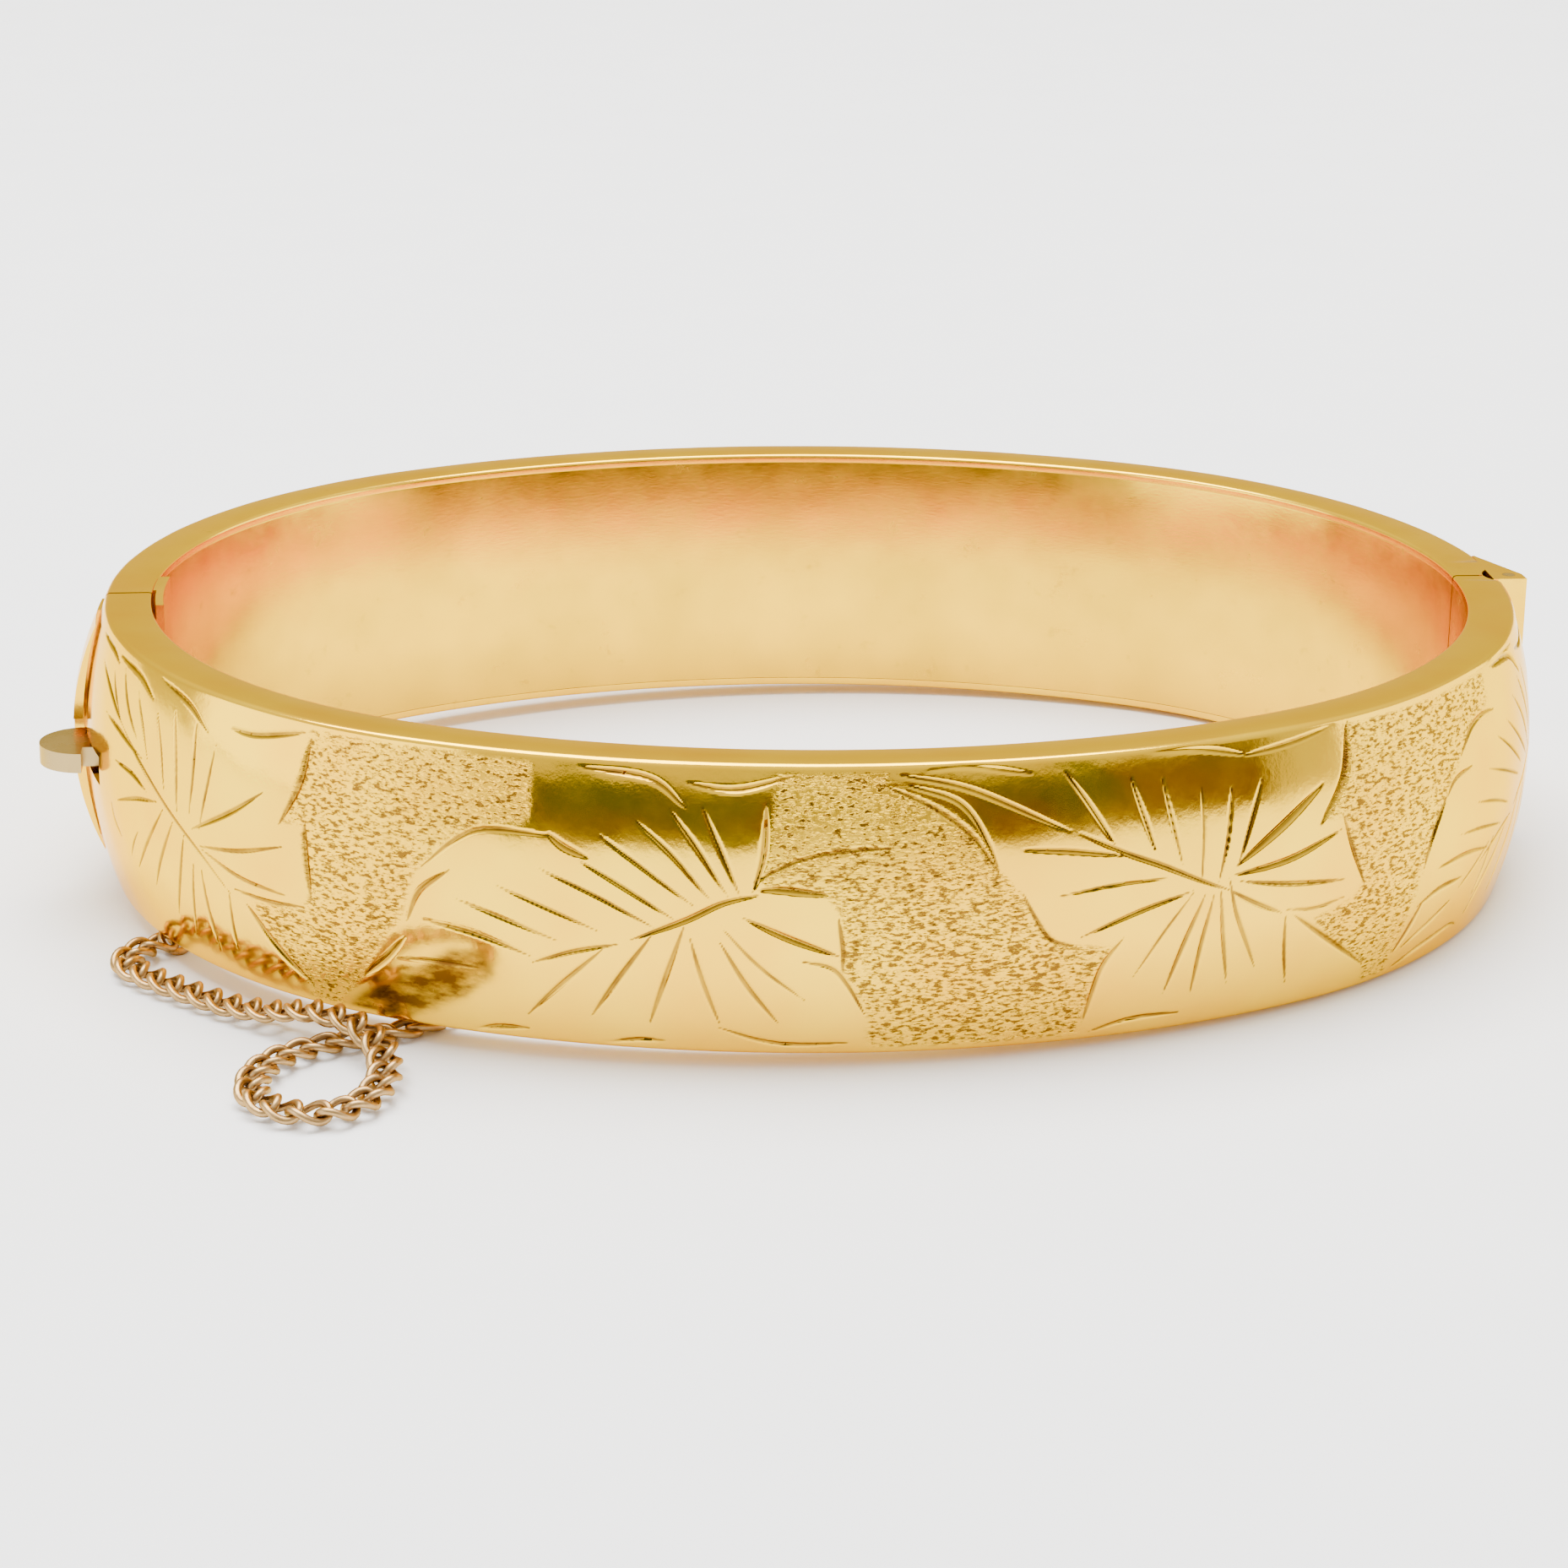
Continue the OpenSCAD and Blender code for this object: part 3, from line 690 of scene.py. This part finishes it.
def carve(us, vs, cuts, slope):
    """Depth in mm, and how close each point is to the bottom of a cut, on the grid us by vs in mm."""
    depth = np.zeros((len(us), len(vs)))
    near = np.zeros_like(depth)
    for width, points in cuts:
        line = smooth_line(points)
        steps = np.linalg.norm(np.diff(line, axis=0), axis=1)
        along = np.concatenate([[0], np.cumsum(steps)]) / steps.sum()
        lo = line.min(axis=0) - width
        hi = line.max(axis=0) + width
        i0, i1 = np.searchsorted(us, (lo[0], hi[0]))
        j0, j1 = np.searchsorted(vs, (lo[1], hi[1]))
        if i0 >= i1 or j0 >= j1:
            continue
        grid_u, grid_v = np.meshgrid(us[i0:i1], vs[j0:j1], indexing="ij")
        best = np.full(grid_u.shape, 9.0)
        place = np.zeros(grid_u.shape)
        for (a, b), s0, s1 in zip(zip(line[:-1], line[1:]), along[:-1], along[1:]):
            way = b - a
            t = ((grid_u - a[0]) * way[0] + (grid_v - a[1]) * way[1]) / (way @ way + 1e-12)
            t = np.clip(t, 0, 1)
            d = np.hypot(grid_u - a[0] - t * way[0], grid_v - a[1] - t * way[1])
            closer = d < best
            best[closer] = d[closer]
            place[closer] = (s0 + t * (s1 - s0))[closer]
        half = 0.5 * width * np.sin(np.pi * np.clip(place, 0.02, 0.98)) ** 0.6
        here = np.clip(half - best, 0, None)
        depth[i0:i1, j0:j1] = np.maximum(depth[i0:i1, j0:j1], here * slope)
        near[i0:i1, j0:j1] = np.maximum(near[i0:i1, j0:j1], np.clip(here / half, 0, 1))
    return depth, near


def ripples(us, vs):
    """Slow waves of a hand-finished face, from -1 to 1."""
    grid_u, grid_v = np.meshgrid(us, vs, indexing="ij")
    waves = np.sin(grid_u * 0.93 + 1.1 * np.sin(grid_v * 0.52)) + 0.7 * np.sin(grid_u * 2.1 + grid_v * 1.3 + 2)
    return (waves + 0.5 * np.sin(grid_u * 0.41 - grid_v * 0.9 + 4)) / 2.2


# ---- Pieces ----

def carved_face(band, cut, oval, material):
    """The front half's shell, with its engraving in the mesh and the thumb-piece's slot cut through it."""
    section, rows = channel(band, cut.grid)
    start = oval.u_of_y(band.joint_gap)
    stop = oval.length - oval.u_of_y(band.joint_gap)
    us = np.linspace(start, stop, int((stop - start) / cut.grid))
    us_mm = us / MM
    vs_mm = section[:rows, 1] / MM
    depth, near = carve(us_mm, vs_mm, all_cuts(), cut.cut_slope)
    grid_u, grid_v = np.meshgrid(us_mm, vs_mm, indexing="ij")
    leaf = np.zeros(grid_u.shape, bool)
    for area in LEAF_AREAS:
        leaf |= inside(area, grid_u, grid_v)
    ground = blurred(~leaf, 3)
    stain = blurred(inside(STAIN_AREA, grid_u, grid_v), 8)
    from_edge = np.minimum(vs_mm, band.height / MM - vs_mm)
    fade = np.clip(from_edge / 0.5, 0, 1)
    off_rim = np.clip((from_edge - band.soft_edge / MM) / 0.15, 0, 1)[None, :]
    ground = ground * off_rim
    near = near * off_rim
    stain = stain * off_rim
    sink = depth * MM + ground * cut.ground_depth + cut.ripple * ripples(us_mm, vs_mm)
    sink = sink * fade[None, :]
    radius, centre = dome(band)
    lift = (section[:rows, 1] - band.height / 2) / radius
    level = np.sqrt(1 - lift ** 2)
    full = np.broadcast_to(section, (len(us), *section.shape)).copy()
    full[:, :rows, 0] -= sink * level
    full[:, :rows, 1] -= sink * lift
    verts = seated(clear_hinge(band, sweep(oval, us, full))).reshape(-1, 3)
    count = len(section)
    quads = ring_faces(len(us), count)

    slot_u = (oval.u_of_y(SLOT_START), oval.u_of_y(SLOT_END))
    slot_v = band.height / 2 + np.array([-SLOT_HALF, SLOT_HALF])
    i0, i1 = np.searchsorted(us, slot_u)
    j0, j1 = np.searchsorted(section[:rows, 1], slot_v)
    ring = quads[:, 0] // count
    place = quads[:, 0] % count
    hole = (ring >= i0) & (ring < i1) & (place >= j0) & (place < j1)
    back_place = (place >= rows + LIP_POINTS) & (place < rows + LIP_POINTS + BACK_POINTS)
    hole |= (ring >= i0) & (ring < i1) & back_place
    quads = quads[~hole]
    edge = ([(i, j0) for i in range(i0, i1)] + [(i1, j) for j in range(j0, j1)]
            + [(i, j1) for i in range(i1, i0, -1)] + [(i0, j) for j in range(j1, j0, -1)])
    rim = np.array([i * count + j for i, j in edge])
    plan, out = oval.at(us[[i for i, _ in edge]])
    inward = np.stack([out[:, 0], out[:, 1], np.zeros(len(edge))], -1) * band.sheet
    deep = verts[rim] - inward
    first = len(verts)
    verts = np.vstack([verts, deep])
    n = len(edge)
    walls = [(rim[k], first + k, first + (k + 1) % n, rim[(k + 1) % n]) for k in range(n)]
    faces = [list(f) for f in quads] + [list(w) for w in walls] + end_faces(len(us), count)
    piece = new_piece("engraved_front_face", verts, faces, material, BODY_OF["front_shell"])
    square_off(piece, 75)
    for name, values in (("ground", ground), ("cut", near), ("stain", stain)):
        flat = np.zeros((len(us), count))
        flat[:, :rows] = values
        full_values = np.concatenate([flat.ravel(), np.zeros(n)])
        layer = piece.data.attributes.new(name, "FLOAT", "POINT")
        layer.data.foreach_set("value", full_values)
    return piece


class BANGLE_OT_front_face(Operator):
    """Builds the engraved front face with its rims"""
    bl_idname = "bangle.front_face"
    bl_label = "Front face"

    def execute(self, context):
        band = context.scene.bangle_band
        piece = carved_face(band, context.scene.bangle_engraving, Oval(band, -1), FINISHES["engraved"])
        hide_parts("front_shell")
        return {"FINISHED"}


class BANGLE_OT_rear_face(Operator):
    """Builds the plain rear face with its rims"""
    bl_idname = "bangle.rear_face"
    bl_label = "Rear face"

    def execute(self, context):
        band = context.scene.bangle_band
        oval = Oval(band, 1)
        section, rows = channel(band, 0.0003)
        us = np.linspace(0, oval.length, 440)
        full = np.broadcast_to(section, (len(us), *section.shape)).copy()
        waves = ripples(us / MM, section[:rows, 1] / MM) * context.scene.bangle_engraving.ripple
        full[:, :rows, 0] -= waves
        verts = seated(clear_hinge(band, sweep(oval, us, full), block=True)).reshape(-1, 3)
        count = len(section)
        faces = [list(f)[::-1] for f in ring_faces(len(us), count)]
        faces += [f[::-1] for f in end_faces(len(us), count)]
        piece = new_piece("plain_rear_face", verts, faces, FINISHES["face"], BODY_OF["rear_shell"])
        square_off(piece, 75)
        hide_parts("rear_shell")
        return {"FINISHED"}


class BANGLE_OT_linings(Operator):
    """Builds the two linings inside the band"""
    bl_idname = "bangle.linings"
    bl_label = "Linings"

    def execute(self, context):
        band = context.scene.bangle_band
        inner = -band.rim_width
        outer = inner + band.sheet
        low = band.sheet
        high = band.height - band.sheet
        section = soft_box([(inner, low), (outer, low), (outer, high), (inner, high)], 0.00006, 2)
        for side, node in ((1, "rear_lining"), (-1, "front_lining")):
            oval = Oval(band, side)
            start = oval.u_of_y(band.joint_gap) if side < 0 else 0.0
            us = np.linspace(start, oval.length - start, 300)
            piece = swept_piece(node + "_finished", oval, us, section, FINISHES["lining"], BODY_OF[node])
            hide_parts(node)
        return {"FINISHED"}


def refinish(node, finish, bevel=0.0):
    """Gives a frame part its real finish, and worn edges where a bevel is asked for."""
    part = NODES[node]
    for slot in part.material_slots:
        slot.material = FINISHES[finish]
    if bevel:
        worn = part.modifiers.new("worn_edges", "BEVEL")
        worn.width = bevel
        worn.segments = 3
        worn.limit_method = "ANGLE"
        worn.angle_limit = math.radians(35)


class BANGLE_OT_hinge(Operator):
    """Finishes the hinge's block, knuckles and pin, and the end caps"""
    bl_idname = "bangle.hinge"
    bl_label = "Hinge and end caps"

    def execute(self, context):
        for node in ("hinge_block", "hinge_knuckle_top", "hinge_knuckle_bottom", "hinge_knuckle_middle"):
            refinish(node, "face")
        refinish("hinge_pin", "fittings")
        for node in ("rear_clasp_end_cap", "rear_hinge_end_cap", "front_clasp_end_cap", "front_hinge_end_cap"):
            refinish(node, "lining")
        return {"FINISHED"}


class BANGLE_OT_clasp(Operator):
    """Finishes the clasp's guards, tongue and thumb-piece"""
    bl_idname = "bangle.clasp"
    bl_label = "Clasp"

    def execute(self, context):
        refinish("clasp_outer_guard", "face")
        refinish("clasp_inner_guard", "lining")
        refinish("tongue_fixed_leaf", "fittings")
        refinish("tongue_spring_leaf", "fittings")
        refinish("thumb_piece", "fittings", 0.00018)
        return {"FINISHED"}


# The chain's route on the table, in millimetres, from the rear eye's leg to the front eye's leg
ROUTE = [
    (-29.7, 6.2, 0.6), (-28.7, 4.5, 0.5), (-27, 2, 0.42), (-25.6, -1.5, 0.4),
    (-24, -5, 0.4), (-22, -8.5, 0.4), (-19.6, -12, 0.4), (-17.2, -15, 0.4),
    (-15.8, -17.4, 0.4), (-16, -19.6, 0.4), (-17.4, -21.2, 0.4), (-19.3, -22.2, 0.42),
    (-21.3, -22.9, 0.46), (-23.2, -24.2, 0.55), (-24.4, -26.2, 0.6), (-24.5, -28.6, 0.6),
    (-23.2, -30.4, 0.6), (-21.2, -30.8, 0.6), (-19.7, -29.5, 0.6), (-19, -27.4, 0.75),
    (-19.2, -25.2, 1.1), (-20.4, -23.4, 1.6), (-22.2, -21.9, 1.55), (-24, -20.3, 0.9),
    (-25.8, -18.6, 0.6), (-27.6, -16.8, 0.6), (-29.3, -15, 0.6), (-30.6, -13.2, 0.6),
    (-29.9, -11.3, 0.6), (-28.3, -10.3, 0.52)
]


class Route:
    """Places along the chain's route."""

    def __init__(self, points):
        self.points = np.array(points, float) * MM
        steps = np.linalg.norm(np.diff(self.points, axis=0), axis=1)
        self.along = np.concatenate([[0], np.cumsum(steps)])
        self.length = self.along[-1]

    def at(self, s):
        return np.array([np.interp(s, self.along, self.points[:, k]) for k in range(3)])

    def smooth(self, s):
        ease = 0.0006
        return (self.at(max(0, s - ease)) + self.at(s) + self.at(min(self.length, s + ease))) / 3

    def frame(self, s):
        """Position and axes of a link centred at s: X runs along the chain."""
        step = 0.0005
        way = Vector(self.smooth(min(self.length, s + step)) - self.smooth(max(0, s - step))).normalized()
        side = Vector((0, 0, 1)).cross(way).normalized()
        up = way.cross(side)
        m = Matrix((way, side, up)).transposed().to_4x4()
        m.translation = Vector(self.smooth(s))
        return m


def curb_link(chain, place, twist, around=28, wire=10):
    """One oval link, twisted so that it lies flat in the chain: verts, faces and the painted shade of each point,
    from how hidden it is.
    """
    a = chain.half_long
    b = chain.half_wide
    r = chain.wire_radius
    verts = []
    recess_shade = []
    for i in range(around):
        t = 2 * math.pi * i / around
        centre = Vector((a * math.cos(t), b * math.sin(t), 0))
        inward = Vector((-b * math.cos(t), -a * math.sin(t), 0)).normalized()
        roll = Matrix.Rotation(twist * centre.x / a, 3, "X")
        for k in range(wire):
            w = 2 * math.pi * k / wire
            point = centre + inward * (r * math.cos(w)) + Vector((0, 0, r * math.sin(w)))
            verts.append(place @ (roll @ point))
            # Painted shade: most on the wire's inner side, and strongest at the link's two ends where it hooks
            # into its neighbours.
            hidden = 0.5 + 0.5 * math.cos(w)
            recess_shade.append(hidden * (0.55 + 0.45 * abs(math.cos(t)) ** 3))
    faces = ring_faces(around, wire, closed_rings=True)
    return verts, faces, recess_shade


class BANGLE_OT_chain(Operator):
    """Builds the safety chain's twisted links, and finishes its eyes and rings"""
    bl_idname = "bangle.chain"
    bl_label = "Safety chain"

    def execute(self, context):
        chain = context.scene.bangle_chain
        route = Route(ROUTE)
        runs = sorted(n for n in NODES if n.startswith("chain_run_"))
        total = len(runs) * chain.links_per_run
        ring_reach = chain.ring_half + chain.half_long - chain.hook
        pitch = (route.length - 2 * ring_reach) / (total - 1)
        for r, node in enumerate(runs):
            verts = []
            faces = []
            recess_shade = []
            for k in range(r * chain.links_per_run, (r + 1) * chain.links_per_run):
                place = route.frame(ring_reach + k * pitch)
                lift = (place.translation.z - chain.wire_radius) / chain.half_wide
                twist = math.asin(min(0.72, max(0.34, lift)))
                v, f, d = curb_link(chain, place, twist)
                faces += [list(q + len(verts)) for q in f]
                verts += v
                recess_shade += d
            piece = new_piece(node.replace("run", "links"), verts, faces, FINISHES["chain"], BODY_OF[node])
            # The links' painted shade, kept as a point attribute for the chain material.
            layer = piece.data.attributes.new("recess_shade", "FLOAT", "POINT")
            layer.data.foreach_set("value", recess_shade)
            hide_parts(node)
        for node in ("rear_chain_eye", "front_chain_eye", "rear_jump_ring", "front_jump_ring"):
            refinish(node, "chain")
        return {"FINISHED"}


# ---- Stage ----

def soft_light(name, place, target, size, power):
    light = bpy.data.lights.new(name, "AREA")
    light.shape = "RECTANGLE"
    light.size, light.size_y = size
    light.energy = power
    lamp = bpy.data.objects.new(name, light)
    lamp.location = place
    lamp.rotation_euler = (Vector(target) - Vector(place)).to_track_quat("-Z", "Y").to_euler()
    bpy.context.scene.collection.objects.link(lamp)
    return lamp


def flat_card(name, corners, material):
    mesh = bpy.data.meshes.new(name)
    mesh.from_pydata(corners, [], [tuple(range(len(corners)))])
    mesh.materials.append(material)
    card = bpy.data.objects.new(name, mesh)
    bpy.context.scene.collection.objects.link(card)
    return card


def matt(name, colour, grain=0.02):
    """A plain matt surface with a faint grain."""
    n = Nodes(name)
    shade = n.ramp(n.noise(0.01, 3.0), 0.3, 0.7)
    n.link(n.mix(shade, colour, tuple(c * (1 - grain) for c in colour)), n.shader.inputs["Base Color"])
    n.shader.inputs["Roughness"].default_value = 0.9
    n.shader.inputs["Specular IOR Level"].default_value = 0.1
    return n.material


def room():
    """A pale room: white above, greyer round the walls, so that the gold has something to show."""
    world = bpy.data.worlds.new("studio")
    world.use_nodes = True
    tree = world.node_tree
    coords = tree.nodes.new("ShaderNodeTexCoord")
    split = tree.nodes.new("ShaderNodeSeparateXYZ")
    ramp = tree.nodes.new("ShaderNodeValToRGB")
    tree.links.new(coords.outputs["Generated"], split.inputs[0])
    tree.links.new(split.outputs["Z"], ramp.inputs["Fac"])
    tree.links.new(ramp.outputs["Color"], tree.nodes["Background"].inputs["Color"])
    stops = ramp.color_ramp.elements
    stops[0].position = 0.0
    stops[0].color = (0.8, 0.77, 0.72, 1)
    stops[1].position = 0.75
    stops[1].color = (1, 0.98, 0.95, 1)
    low = stops.new(0.3)
    low.color = (0.7, 0.67, 0.62, 1)
    tree.nodes["Background"].inputs["Strength"].default_value = 1.5
    return world


def dark_surround(radius, height, start, end):
    """A curved dark card in front, seen only in the gold's reflections."""
    steps = 24
    degrees = [start + (end - start) * k / steps for k in range(steps + 1)]
    foot = [(radius * math.sin(math.radians(a)), -radius * math.cos(math.radians(a))) for a in degrees]
    verts = [(x, y, 0.0) for x, y in foot] + [(x, y, height) for x, y in foot]
    faces = [(k, k + 1, k + steps + 2, k + steps + 1) for k in range(steps)]
    n = Nodes("dark_surround")
    n.link(n.mix(n.ramp(n.noise(0.12, 2.0), 0.4, 0.6), (0.02, 0.03, 0.012), (0.06, 0.03, 0.012)),
           n.shader.inputs["Base Color"])
    n.shader.inputs["Roughness"].default_value = 0.9
    mesh = bpy.data.meshes.new("dark_surround")
    mesh.from_pydata(verts, [], faces)
    mesh.materials.append(n.material)
    card = bpy.data.objects.new("dark_surround", mesh)
    bpy.context.scene.collection.objects.link(card)
    card.visible_camera = False
    card.visible_shadow = False
    card.visible_diffuse = False
    return card


class BANGLE_OT_stage(Operator):
    """Sets up the pale floor, the soft light and the camera"""
    bl_idname = "bangle.stage"
    bl_label = "Stage"

    def execute(self, context):
        stage = context.scene.bangle_stage
        camera = bpy.data.cameras.new("camera")
        camera.lens = stage.lens
        camera.sensor_width = 36
        camera.clip_start = 0.005
        camera.clip_end = 50
        eye = bpy.data.objects.new("camera", camera)
        back = Vector((math.sin(stage.azimuth) * math.cos(stage.elevation),
                       -math.cos(stage.azimuth) * math.cos(stage.elevation), math.sin(stage.elevation)))
        look = back.to_track_quat("Z", "Y").to_matrix() @ Matrix.Rotation(stage.roll, 3, "Z")
        place = Vector((stage.aim_x, 0, stage.aim_z)) + back * stage.distance
        eye.matrix_world = Matrix.Translation(place) @ look.to_4x4()
        context.scene.collection.objects.link(eye)
        context.scene.camera = eye

        half = 6.0
        corners = [(-half, -half, 0), (half, -half, 0), (half, half, 0), (-half, half, 0)]
        flat_card("floor", corners, matt("pale_floor", tuple(stage.floor)))
        dark_surround(0.4, 0.115, -38, 57)
        context.scene.world = room()
        soft_light("top_light", (-0.05, 0.1, 0.7), (0, 0, 0), (0.7, 0.6), 17)
        soft_light("left_wall", (-0.8, -0.2, 0.2), (0, 0, 0.03), (0.9, 0.4), 3.4)
        soft_light("right_wall", (0.8, 0.1, 0.2), (0, 0, 0.03), (0.8, 0.4), 2.6)
        return {"FINISHED"}


# ---- Panel and registration ----

PIECES = ("front_face", "rear_face", "linings", "hinge", "clasp", "chain", "stage")
GROUPS = (
    ("bangle_band", BandSizes),
    ("bangle_engraving", EngravingSizes),
    ("bangle_chain", ChainSizes),
    ("bangle_golds", GoldColours),
    ("bangle_stage", StageSettings),
)


class BANGLE_PT_panel(Panel):
    """Lists the sizes and the pieces"""
    bl_label = "Bangle"
    bl_idname = "BANGLE_PT_panel"
    bl_space_type = "VIEW_3D"
    bl_region_type = "UI"
    bl_category = "Bangle"

    def draw(self, context):
        for name, group in GROUPS:
            box = self.layout.box()
            settings = getattr(context.scene, name)
            for key in group.__annotations__:
                box.prop(settings, key)
        for piece in PIECES:
            self.layout.operator("bangle." + piece)


OPERATORS = (BANGLE_OT_front_face, BANGLE_OT_rear_face, BANGLE_OT_linings, BANGLE_OT_hinge, BANGLE_OT_clasp,
             BANGLE_OT_chain, BANGLE_OT_stage)


def register():
    for name, group in GROUPS:
        bpy.utils.register_class(group)
        setattr(bpy.types.Scene, name, PointerProperty(type=group))
    for cls in OPERATORS + (BANGLE_PT_panel,):
        bpy.utils.register_class(cls)


def unregister():
    for cls in (BANGLE_PT_panel,) + OPERATORS[::-1]:
        bpy.utils.unregister_class(cls)
    for name, group in GROUPS[::-1]:
        delattr(bpy.types.Scene, name)
        bpy.utils.unregister_class(group)


def main():
    register()
    make_finishes(bpy.context.scene.bangle_golds)
    for piece in PIECES:
        getattr(bpy.ops.bangle, piece)()
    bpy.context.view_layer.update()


if __name__ == "__main__":
    main()
